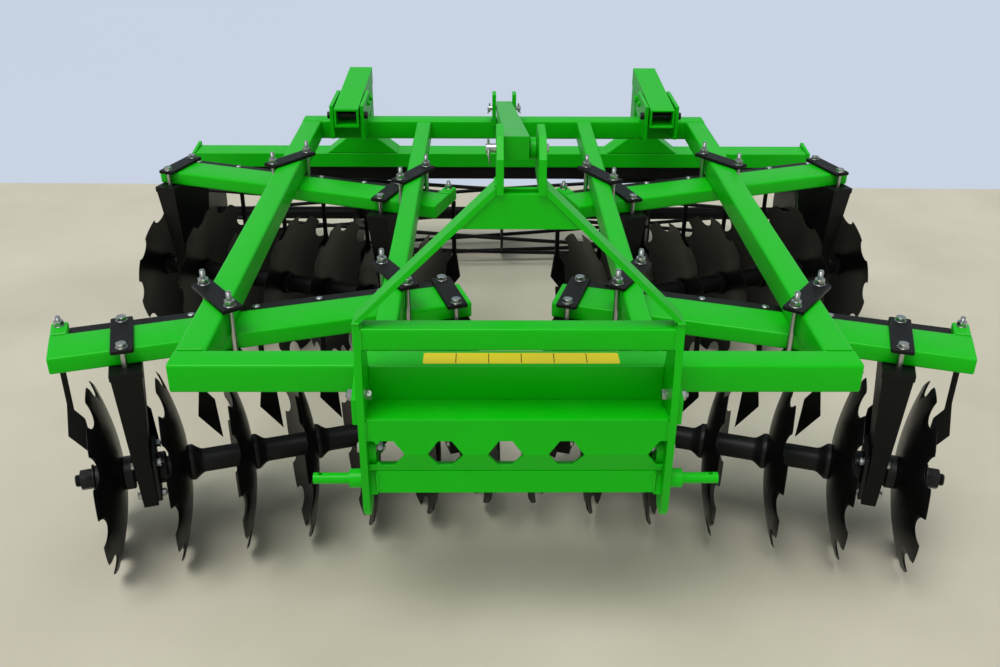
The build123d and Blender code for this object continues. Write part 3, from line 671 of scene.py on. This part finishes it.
class HarrowStage(bpy.types.PropertyGroup):
    floor: bpy.props.FloatProperty(
        name="Floor", description="Half size of the floor", default=30.0, min=5, unit="LENGTH"
    )
    sky: bpy.props.FloatProperty(
        name="Sky", description="Strength of the even light", default=0.55, min=0
    )
    sun: bpy.props.FloatProperty(
        name="Sun", description="Strength of the soft sun", default=1.7, min=0
    )
    backdrop: bpy.props.FloatProperty(
        name="Backdrop", description="Distance of the backdrop behind the middle", default=2.21,
        unit="LENGTH",
    )
    camera_height: bpy.props.FloatProperty(
        name="Camera height", description="Camera above the floor", default=2.040, unit="LENGTH"
    )


# ------------------------------------------------------------------ fasteners
def clamp_rod(place, z0, z1):
    """A plain rod along place's Z."""
    return placed(lathe([(0, z0), (ROD_RADIUS, z0), (ROD_RADIUS, z1), (0, z1)], 20), place)


def clamp_nut(place):
    """Washer, nut and thread end on a face at place's origin, standing along its Z."""
    fit = bpy.context.scene.harrow_fasteners
    height = fit.flats * 0.55
    pieces = [
        washer(fit.flats * 0.62, 3),
        placed(nut(fit.flats, height), at(0, 0, 3) @ turn_z(17)),
        thread(ROD_RADIUS, 0, 3 + height + fit.stand),
    ]
    return [placed(one, place) for one in pieces]


def small_bolt(place, flats=19):
    """Washer and bolt head on a face."""
    pieces = [
        washer(flats * 0.62, 2),
        placed(bolt_head(flats, flats * 0.42), at(0, 0, 2) @ turn_z(9)),
    ]
    return [placed(one, place) for one in pieces]


def small_nut(place, flats=19, stand=5):
    """Washer, nut and a short thread end on a face."""
    height = flats * 0.55
    pieces = [
        washer(flats * 0.62, 2),
        placed(nut(flats, height), at(0, 0, 2) @ turn_z(23)),
        thread(flats * 0.3, 0, 2 + height + stand, 1.8, 14),
    ]
    return [placed(one, place) for one in pieces]


def ring_clip(place, radius, lean):
    """A linch clip: a short pin through the end of a pin along X, and its ring hanging down."""
    x, y, z = place
    turn = np.linspace(0, 2 * np.pi, 28, endpoint=False)
    drop = z - radius + 4
    across = x + radius * lean * (1 - np.cos(turn))
    ring = np.column_stack([across, y + radius * np.sin(turn), drop + radius * np.cos(turn)])
    stem = np.linspace((x, y, z - 17), (x, y, z + 20), 6)
    return [carried(ring, 2.0, 8, True), carried(stem, 3.2, 10)]


def dome(place, radius=11, height=7):
    """A low round head."""
    turn = np.linspace(0, np.pi / 2, 6)
    rows = [(0, 0), (radius, 0)]
    rows += list(zip(radius * np.cos(turn), 1.5 + (height - 1.5) * np.sin(turn)))
    return placed(lathe(rows, 20), place)


DOWN = (0, 0, -1)


# ------------------------------------------------------------------ pieces
class HARROW_OT_frame_tubes(bpy.types.Operator):
    """Rounded tubes of the main frame"""

    bl_idname = "harrow.frame_tubes"
    bl_label = "Frame tubes"

    def execute(self, context):
        middle = FRAME_TOP - TUBE / 2
        half = TUBE / 2
        rear = FRAME_LENGTH - half
        edge = FRAME_HALF
        tubes = {
            "front_beam": ((-edge, half, middle), (edge, half, middle), TUBE),
            "rear_beam": ((-edge, rear, middle), (edge, rear, middle), TUBE),
        }
        for sign, side in ((-1, "left"), (1, "right")):
            for (offset, half_rail), kind in zip(RAILS, ("outer", "inner")):
                x = sign * offset
                tubes[f"{kind}_rail_{side}"] = (
                    (x, TUBE - 3, middle),
                    (x, FRAME_LENGTH - TUBE + 3, middle),
                    2 * half_rail,
                )
        for node, (start, end, width) in tubes.items():
            shape = tube(start, end, width, TUBE)
            dressed(node + "_tube", [(green_paint(), [shape])], "frame", [node])
        return {"FINISHED"}


class HARROW_OT_gang_beams(bpy.types.Operator):
    """Flat tubes that carry the gangs, each with its scraper arm"""

    bl_idname = "harrow.gang_beams"
    bl_label = "Gang beams"

    def execute(self, context):
        level = (GANG_TOP + GANG_BOTTOM) / 2
        for row, side in both_gang_sides():
            place = gang_place(row, side)
            length = GANGS[row][4]
            beam = tube((0, 0, level), (length, 0, level), 2 * GANG_HALF, 50, 8)
            arm = tube((23, GANG_HALF - 3, level), (23, 144, level), 46, 50, 6)
            seam = [
                bead((4, GANG_HALF + 1, GANG_TOP - 1), (42, GANG_HALF + 1, GANG_TOP - 1)),
                bead((47, GANG_HALF + 1, GANG_TOP - 4), (47, GANG_HALF + 1, GANG_BOTTOM + 4)),
            ]
            node = f"gang_beam_{row}_{side}"
            groups = [
                (green_paint(), [placed(one, place) for one in (beam, arm)]),
                (weld_paint(), [placed(one, place) for one in seam]),
            ]
            dressed(node + "_tube", groups, "frame", [node])
        return {"FINISHED"}


def disc_surface(settings, seat):
    """A dished plate on the line along X.

    Its points run over angle and radius.  The rim's radius at an angle is the disc's own, or
    within a notch the near side of the notch's circle: c cos(a) - sqrt(n2 - c2 sin2(a)).  The
    hollow deepens with the 1.6th power of the way from the seat to the rim, and the domed
    side is ground down to a thin edge along the whole outline."""
    radius = settings.diameter / 2
    notch = settings.notch_radius
    centre = radius + 2
    count = settings.notches
    limit = math.asin(notch / centre)
    swing = limit * np.sin(np.linspace(-np.pi / 2, np.pi / 2, 15))
    near = centre * np.cos(swing) - np.sqrt(
        np.maximum(notch**2 - (centre * np.sin(swing)) ** 2, 0)
    )
    land = np.linspace(limit, 2 * np.pi / count - limit, 7)[1:-1]
    one_angle = np.concatenate([swing, land])
    one_radius = np.concatenate([near, np.full(len(land), radius)])
    turns = (np.arange(count) + 0.5) * 2 * np.pi / count
    angle = (turns[:, None] + one_angle[None, :]).ravel()
    rim = np.minimum(np.tile(one_radius, count), radius)
    inner = 32.0
    seat_radius = 58.0
    share = np.concatenate([[0, 0.1], np.linspace(0.16, 1, 11)])
    hollow = inner + (rim[None, :] - settings.bevel - inner) * share[:, None]
    rows_r = np.concatenate([hollow, rim[None, :], rim[None, :], hollow[::-1]])
    way = np.clip((rows_r - seat_radius) / (radius - seat_radius), 0, 1)
    depth = settings.dish * way**1.6
    steps = len(share)
    lift = np.concatenate([np.zeros(steps + 1), [1.2], np.full(steps, settings.thickness)])
    x = seat - depth + lift[:, None]
    y = rows_r * np.sin(angle)
    z = AXLE_HEIGHT - rows_r * np.cos(angle)
    return grid(np.stack([x, y, z], -1), wrap_rows=True)


class HARROW_OT_discs(bpy.types.Operator):
    """Notched dished discs of the four gangs"""

    bl_idname = "harrow.discs"
    bl_label = "Discs"

    def execute(self, context):
        settings = context.scene.harrow_discs
        for row, side in both_gang_sides():
            place = gang_place(row, side)
            blades = [placed(disc_surface(settings, seat), place) for seat in SEATS]
            dressed(
                f"disc_set_{row}_{side}", [(disc_paint(), blades)], f"{row}_{side}_gang",
                [f"discs_{row}_{side}"], 28,
            )
        return {"FINISHED"}


def standard_near_face(place, height):
    """A standard's face towards the beam's end; standards widen upwards."""
    rise = (height - 190) / (PLATE_BOTTOM - 190)
    return place - STANDARD_HALF - 21.5 * rise


def axle_shapes(standards):
    """Spools, collars, washer and nut along a gang's axle."""
    painted = []
    for index in range(len(SEATS) - 1):
        x0 = SEATS[index] + 5
        x1 = SEATS[index + 1]
        held = [place for place in standards if x0 < place < x1]
        if held:
            near = standard_near_face(held[0], AXLE_HEIGHT + 55) - SPOOL_GAP
            far = held[0] + STANDARD_HALF + 14 + 24 + SPOOL_GAP
            rows = [(x0, 0), (x0, 46), (x0 + 3, 49), (near - 3, 49), (near, 46), (near, 30)]
            rows += [(far, 30), (far, 35), (x1 - 18, 35), (x1 - 14, 41), (x1 - 11, 45)]
            rows += [(x1 - 2, 45), (x1, 43), (x1, 0)]
        else:
            rows = [(x0, 0), (x0, 50), (x0 + 2, 53), (x0 + 12, 53), (x0 + 16, 50.5)]
            rows += [(x0 + 24, 44), (x0 + 34, 37), (x0 + 42, 35), (x1 - 18, 35)]
            rows += [(x1 - 14, 41), (x1 - 11, 45), (x1 - 2, 45), (x1, 43), (x1, 0)]
        painted.append(lathe_x(rows, AXLE_HEIGHT))
    first = SEATS[0]
    rows = [(first - 74, 0), (first - 74, 32), (first - 70, 36), (first - 30, 38)]
    rows += [(first - 12, 43), (first - 2, 45), (first, 43), (first, 0)]
    painted.append(lathe_x(rows, AXLE_HEIGHT))
    last = SEATS[-1] + 5
    rows = [(last, 0), (last, 32), (last + 9, 32), (last + 12, 28), (last + 12, 0)]
    painted.append(lathe_x(rows, AXLE_HEIGHT))
    nut_place = aimed((first - 74, 0, AXLE_HEIGHT), (-1, 0, 0))
    painted.append(placed(washer(40, 5), nut_place))
    painted.append(placed(nut(54, 34), nut_place @ at(0, 0, 5) @ turn_z(12)))
    painted.append(placed(thread(18, 0, 54, 3.4, 28), nut_place))
    return painted


class HARROW_OT_axles(bpy.types.Operator):
    """Spools, collars and end nuts of the gangs"""

    bl_idname = "harrow.axles"
    bl_label = "Axles and spools"

    def execute(self, context):
        for row, side in both_gang_sides():
            place = gang_place(row, side)
            shapes = [placed(one, place) for one in axle_shapes(GANGS[row][3])]
            dressed(
                f"spool_set_{row}_{side}", [(cast_paint(), shapes)], f"{row}_{side}_gang",
                [f"axle_{row}_{side}"], 32,
            )
        return {"FINISHED"}


def rail_crossings(row):
    """Middle, half rail and heading of each slanting strap of a gang, drawn for its own side."""
    (x, y), angle, own, _, _ = GANGS[row]
    sign = -1 if own == "left" else 1
    slope = math.tan(math.radians(angle))
    for offset, half_rail in RAILS:
        middle = (sign * offset, y + (sign * offset - x) * slope)
        across = half_rail + 4 + ROD_RADIUS
        along = ROD_LINE / math.cos(math.radians(angle)) - across * slope
        yield middle, math.hypot(across, along), math.degrees(math.atan2(along, -across))


class HARROW_OT_clamps(bpy.types.Operator):
    """Straps, rods and nuts that hold the gangs to the rails and the standards to the gangs"""

    bl_idname = "harrow.clamps"
    bl_label = "Clamps"

    def execute(self, context):
        for row, side in both_gang_sides():
            straps, bolts = [], []
            (_, _, own, standards, _) = GANGS[row]
            mirror = np.eye(4) if side == own else MIRROR
            for (x, y), reach, heading in rail_crossings(row):
                place = mirror @ at(x, y, 0) @ turn_z(heading)
                top = rounded(2 * (reach + 20), 60, 5, 4)
                low = rounded(2 * (reach + 12), 40, 4, 4)
                straps.append(placed(plate(top, FRAME_TOP, FRAME_TOP + STRAP), place))
                straps.append(placed(plate(low, GANG_BOTTOM - STRAP, GANG_BOTTOM), place))
                for end in (-reach, reach):
                    spot = place @ at(end, 0, 0)
                    bolts.append(clamp_rod(spot, GANG_BOTTOM - 2, FRAME_TOP + 2))
                    bolts += clamp_nut(place @ at(end, 0, FRAME_TOP + STRAP))
                    bolts += small_bolt(place @ aimed((end, 0, GANG_BOTTOM - STRAP), DOWN), 24)
            gang = gang_place(row, side)
            for middle in standards:
                outline = rounded(60, 2 * (ROD_LINE + 20), 5, 4) + np.array((middle, 0))
                straps.append(placed(plate(outline, GANG_TOP, GANG_TOP + STRAP), gang))
                for sign in (-1, 1):
                    spot = gang @ at(middle, sign * ROD_LINE, 0)
                    bolts.append(clamp_rod(spot, PLATE_BOTTOM, GANG_TOP + 2))
                    bolts += small_bolt(spot @ at(0, 0, GANG_TOP + STRAP), 26)
                    bolts += small_nut(spot @ aimed((0, 0, PLATE_BOTTOM), DOWN), 24, 6)
            dressed(
                f"clamp_set_{row}_{side}", [(black_paint(), straps), (zinc(), bolts)], "frame",
                [f"clamps_{row}_{side}"],
            )
        return {"FINISHED"}


class HARROW_OT_standards(bpy.types.Operator):
    """Softened standards, bearings and scrapers, with their bolts"""

    bl_idname = "harrow.standards"
    bl_label = "Standards and scrapers"

    def execute(self, context):
        for row, side in both_gang_sides():
            softened(f"standards_{row}_{side}", black_paint(), 4, 3)
            softened(f"bearings_{row}_{side}", cast_paint(), 3, 2)
            softened(f"scrapers_{row}_{side}", black_paint(), 1.2, 2)
            place = gang_place(row, side)
            bolts = []
            for middle in GANGS[row][3]:
                for y in (-52, 52):
                    for z in (-52, 52):
                        height = AXLE_HEIGHT + z
                        far = (middle + STANDARD_HALF + 14, y, height)
                        near = (standard_near_face(middle, height), y, height)
                        bolts += small_nut(place @ aimed(far, (1, 0, 0)), 19, 7)
                        bolts += small_bolt(place @ aimed(near, (-1, 0, 0)), 19)
            rail_top = GANG_TOP - 22
            for seat in SEATS[1:]:
                bolts.append(dome(place @ at(seat - 54 - 62, 128, rail_top)))
            for tie in (300, 540, 800, 1000):
                bolts.append(dome(place @ at(tie, 92, rail_top)))
            bolts += small_nut(place @ at(23, 124, GANG_TOP), 24, 14)
            dressed(
                f"gang_bolts_{row}_{side}", [(zinc(), bolts)], "frame", ()
            )
        return {"FINISHED"}


class HARROW_OT_headstock(bpy.types.Operator):
    """A-frame, hitch bar, apron and brace, with their bolts, pins and clips"""

    bl_idname = "harrow.headstock"
    bl_label = "Headstock"

    def execute(self, context):
        green = green_paint()
        for node in (
            "headstock_cheek_left", "headstock_cheek_right", "headstock_gusset",
            "headstock_apron", "headstock_brackets", "strut_ears",
        ):
            softened(node, green, 1.6, 2)
        for node, width, segments in (
            ("hitch_pin_left", 1.5, 2), ("hitch_pin_right", 1.5, 2),
            ("brace_strut", 6, 4), ("hitch_bar", 4, 3),
        ):
            softened(node, green, width, segments)
        cross = tube((-INNER_FACE, *CROSS_TUBE), (INNER_FACE, *CROSS_TUBE), 50, 58, 7, 1)
        dressed(
            "cross_tube", [(green, [cross])], "frame", ["headstock_cross_tube"]
        )
        bolts = []
        for sign in (-1, 1):
            out, back = (sign, 0, 0), (-sign, 0, 0)
            bolts += small_nut(aimed((sign * (SIDE_PLATE + 14), *BRACKET_BOLT), out), 24, 6)
            bolts += small_bolt(aimed((sign * INNER_FACE, *BRACKET_BOLT), back), 24)
            bolts += small_bolt(aimed((sign * SIDE_PLATE, *HITCH_BOLT), out), 24)
            low = (sign * (INNER_FACE - HITCH_PLATE), *HITCH_BOLT)
            bolts += small_nut(aimed(low, back), 24, 6)
        dressed("headstock_bolts", [(zinc(), bolts)], "frame", ())
        rods = []
        for x0, x1, spot in ((-76, 64, BRACE_FRONT), (-70, 70, BRACE_REAR)):
            rows = [(x0, 0), (x0, 9), (x0 + 2, 10), (x1 - 2, 10), (x1, 9), (x1, 0)]
            rods.append(placed(lathe_x(rows, 0, 28), at(0, *spot)))
        rows = [(21.5, 10), (21.5, 22), (23, 24), (35, 24), (36.5, 22), (36.5, 10)]
        ring = placed(lathe_x(rows, 0, 40), at(0, *BRACE_FRONT))
        dressed(
            "brace_pins", [(zinc(), rods), (green, [ring])], "frame", ["strut_pins"]
        )
        clips = []
        for x, spot, radius, lean in (
            (-70, BRACE_FRONT, 21, 0.1), (-61, BRACE_REAR, 13, -0.3), (61, BRACE_REAR, 13, 0.3),
        ):
            clips += ring_clip((x, *spot), radius, lean)
        dressed("pin_clips", [(zinc(), clips)], "frame", ())
        return {"FINISHED"}


class HARROW_OT_strip(bpy.types.Operator):
    """Plain yellow strip on the front beam, with thin dividing lines"""

    bl_idname = "harrow.strip"
    bl_label = "Yellow strip"

    def execute(self, context):
        x0, x1, y0, y1 = -230, 255, 8, 62
        outline = rounded(x1 - x0, y1 - y0, 4, 4) + np.array(((x0 + x1) / 2, (y0 + y1) / 2))
        sheet = plate(outline, FRAME_TOP, FRAME_TOP + 0.5, 0.2)
        lines = []
        for share in np.linspace(0, 1, 7)[1:-1]:
            x = x0 + (x1 - x0) * share
            line = rounded(2, y1 - y0 - 6, 0.5, 2) + np.array((x, (y0 + y1) / 2))
            lines.append(plate(line, FRAME_TOP + 0.3, FRAME_TOP + 0.7, 0.1))
        dressed(
            "yellow_strip", [(yellow_film(), [sheet]), (black_paint(), lines)], "frame", (),
        )
        return {"FINISHED"}


class HARROW_OT_roller(bpy.types.Operator):
    """Cage roller, its arms, beam, lugs and pins"""

    bl_idname = "harrow.roller"
    bl_label = "Roller"

    def execute(self, context):
        green = green_paint()
        axle_y, axle_z = ROLLER
        bar_radius, half = 9, ROLLER_HALF - 14
        ring = axle_z - bar_radius
        share = np.linspace(0, 1, 57)
        axle = at(0, axle_y, axle_z)
        core = [placed(lathe_x([(-half, 0), (-half, 30), (half, 30), (half, 0)], 0), axle)]
        for sign in (-1, 1):
            end = sign * (ROLLER_HALF + 16)
            start = sign * (half - 2)
            rows = [(start, 0), (start, 20), (end - sign, 20), (end, 18), (end, 0)]
            core.append(placed(lathe_x(rows, 0), axle))
        places = np.linspace(-half + 15, half - 15, 5)
        for x in places:
            rows = [(x - 5, 0), (x - 5, 199), (x - 3, 201)]
            rows += [(x + 3, 201), (x + 5, 199), (x + 5, 0)]
            core.append(placed(lathe_x(rows, 0, 64), axle))
        bars = []
        for index in range(10):
            turn = 2 * np.pi / 10 * index + math.radians(70) * share
            x = -half + 2 * half * share
            y, z = axle_y + ring * np.sin(turn), axle_z - ring * np.cos(turn)
            path = np.column_stack([x, y, z])
            bars.append(carried(path, bar_radius, 12))
        cage = [(black_paint(), core + bars)]
        dressed("roller_bars", cage, "roller", ["roller_cage"])
        for node, width, segments in (
            ("roller_arm_left", 4, 3), ("roller_arm_right", 4, 3), ("roller_beam", 5, 3),
            ("roller_end_plates", 1.6, 2), ("roller_lugs", 1.6, 2),
        ):
            softened(node, green, width, segments)
        softened("roller_frame_tube", black_paint(), 5, 3)
        softened("roller_pivot_pins", cast_paint(), 1.5, 2)
        carrier, fixed = [], []
        for sign in (-1, 1):
            for side in (-1, 1):
                x = sign * ARM + side * LUG_FACE
                fixed += small_bolt(aimed((x, 2238, 862), (side, 0, 0)), 24)
                fixed += small_bolt(aimed((x, 2150, 862), (side, 0, 0)), 19)
            face = sign * (ROLLER_HALF + 14)
            for step in range(4):
                turn = math.pi / 4 + step * math.pi / 2
                spot = (face, axle_y + 38 * math.cos(turn), axle_z + 38 * math.sin(turn))
                carrier.append(dome(aimed(spot, (sign, 0, 0)), 9, 5))
        dressed("lug_bolts", [(green, fixed)], "frame", ())
        dressed("roller_bolts", [(zinc(), carrier)], "roller_carrier", ())
        return {"FINISHED"}


def box_seams(x, ys, zs):
    """Ends of the four beads round a tube that meets a plate at x."""
    (y0, y1), (z0, z1) = ys, zs
    inset = 5
    return [
        ((x, y0 + inset, z0), (x, y1 - inset, z0)),
        ((x, y0 + inset, z1), (x, y1 - inset, z1)),
        ((x, y0, z0 + inset), (x, y0, z1 - inset)),
        ((x, y1, z0 + inset), (x, y1, z1 - inset)),
    ]


class HARROW_OT_welds(bpy.types.Operator):
    """Weld beads where the frame's tubes and plates meet"""

    bl_idname = "harrow.welds"
    bl_label = "Welds"

    def execute(self, context):
        top, low = FRAME_TOP - 0.5, FRAME_TOP - TUBE + 0.5
        seams = []
        for sign in (-1, 1):
            for offset, half_rail in RAILS:
                x = sign * offset
                for y in (TUBE + 0.5, FRAME_LENGTH - TUBE - 0.5):
                    seams.append(((x - half_rail + 8, y, top), (x + half_rail - 8, y, top)))
                    for edge in (-half_rail, half_rail):
                        seams.append(((x + edge, y, top - 8), (x + edge, y, low + 8)))
            inner = sign * INNER_FACE
            seams += box_seams(inner, (-114, -64), (899, 957))
            seams += box_seams(sign * (INNER_FACE - HITCH_PLATE), (-104, -60), (492, 557))
            seams.append(((inner, -121, 712), (inner, -121, 658)))
            seams.append(((inner, -118, 717), (inner, -10, 699)))
            for y in (-109, -59):
                seams.append(((sign * 56, y, 1277), (sign * 133, y, 1200)))
            for y in (-114, -54):
                seams.append(((inner, y, 970), (sign * SIDE_PLATE, y, 970)))
            for x in (SIDE_PLATE, INNER_FACE):
                seams.append(((sign * x, 0, 722), (sign * x, 0, 794)))
            seams.append(((sign * 54, -110, 1297), (sign * 54, -58, 1297)))
            for side in (-1, 1):
                x = sign * ARM + side * LUG_FACE
                seams.append(((x, 2112, FRAME_TOP), (x, 2188, FRAME_TOP)))
            seams.append(((sign * 51, 2112, FRAME_TOP), (sign * 51, 2152, FRAME_TOP)))
        beads = [bead(start, end) for start, end in seams]
        dressed("frame_welds", [(weld_paint(), beads)], "frame", (), 60)
        return {"FINISHED"}


class HARROW_OT_stage(bpy.types.Operator):
    """Floor, lights and camera"""

    bl_idname = "harrow.stage"
    bl_label = "Stage"

    def execute(self, context):
        scene = context.scene
        settings = scene.harrow_stage
        size = settings.floor
        mesh = bpy.data.meshes.new("floor")
        corners = [(-size, -size, 0), (size, -size, 0), (size, size, 0), (-size, size, 0)]
        mesh.from_pydata(corners, [], [(0, 1, 2, 3)])
        floor = bpy.data.objects.new("floor", mesh)
        scene.collection.objects.link(floor)
        mesh.materials.append(
            finish("floor_concrete", (0.50, 0.46, 0.35), (0.75, 0.70, 0.56), (0.75, 0.9),
                   specular=0.2, patch_scale=1.3, grain_scale=40.0, grain_height=0.02)
        )
        wall = bpy.data.meshes.new("backdrop")
        ends = [Vector((x, settings.backdrop - 0.012 * x, 0)) for x in (-size, size)]
        top = Vector((0, 0, 6))
        wall.from_pydata([ends[0], ends[1], ends[1] + top, ends[0] + top], [], [(0, 1, 2, 3)])
        backdrop = bpy.data.objects.new("backdrop", wall)
        scene.collection.objects.link(backdrop)
        wall.materials.append(backdrop_paint())
        world = bpy.data.worlds.new("sky")
        world.use_nodes = True
        scene.world = world
        light = world.node_tree.nodes["Background"]
        light.inputs["Color"].default_value = (0.93, 0.96, 1.0, 1)
        light.inputs["Strength"].default_value = settings.sky
        sun = bpy.data.lights.new("soft_sun", "SUN")
        sun.energy = settings.sun
        sun.angle = math.radians(35)
        lamp = bpy.data.objects.new("soft_sun", sun)
        lamp.rotation_euler = Vector((0.22, 0.34, -1.0)).to_track_quat("-Z", "Y").to_euler()
        scene.collection.objects.link(lamp)
        lens = bpy.data.cameras.new("camera")
        lens.sensor_width = 36
        lens.lens = LENS
        camera = bpy.data.objects.new("camera", lens)
        turned = (
            Matrix.Rotation(math.radians(YAW), 4, "Z")
            @ Matrix.Rotation(math.radians(90 - PITCH), 4, "X")
            @ Matrix.Rotation(math.radians(ROLL), 4, "Z")
        )
        eye = (CAMERA_X, front_face - CAMERA_AHEAD, settings.camera_height)
        camera.matrix_world = Matrix.Translation(eye) @ turned
        scene.collection.objects.link(camera)
        scene.camera = camera
        scene.view_settings.view_transform = "Standard"
        return {"FINISHED"}


class HARROW_PT_panel(bpy.types.Panel):
    """Buttons for the harrow's pieces"""

    bl_idname = "HARROW_PT_panel"
    bl_label = "Harrow"
    bl_space_type = "VIEW_3D"
    bl_region_type = "UI"
    bl_category = "Harrow"

    def draw(self, context):
        for operator in OPERATORS:
            self.layout.operator(operator.bl_idname)


OPERATORS = (
    HARROW_OT_frame_tubes,
    HARROW_OT_gang_beams,
    HARROW_OT_discs,
    HARROW_OT_axles,
    HARROW_OT_clamps,
    HARROW_OT_standards,
    HARROW_OT_headstock,
    HARROW_OT_strip,
    HARROW_OT_roller,
    HARROW_OT_welds,
    HARROW_OT_stage,
)
GROUPS = {
    "harrow_paint": HarrowPaint,
    "harrow_discs": HarrowDiscs,
    "harrow_fasteners": HarrowFasteners,
    "harrow_stage": HarrowStage,
}


def register():
    for group in GROUPS.values():
        bpy.utils.register_class(group)
    for operator in OPERATORS:
        bpy.utils.register_class(operator)
    bpy.utils.register_class(HARROW_PT_panel)
    for name, group in GROUPS.items():
        setattr(bpy.types.Scene, name, bpy.props.PointerProperty(type=group))


def unregister():
    for name in GROUPS:
        delattr(bpy.types.Scene, name)
    bpy.utils.unregister_class(HARROW_PT_panel)
    for operator in reversed(OPERATORS):
        bpy.utils.unregister_class(operator)
    for group in GROUPS.values():
        bpy.utils.unregister_class(group)


def main():
    register()
    for operator in OPERATORS:
        category, name = operator.bl_idname.split(".")
        getattr(getattr(bpy.ops, category), name)()


if __name__ == "__main__":
    main()
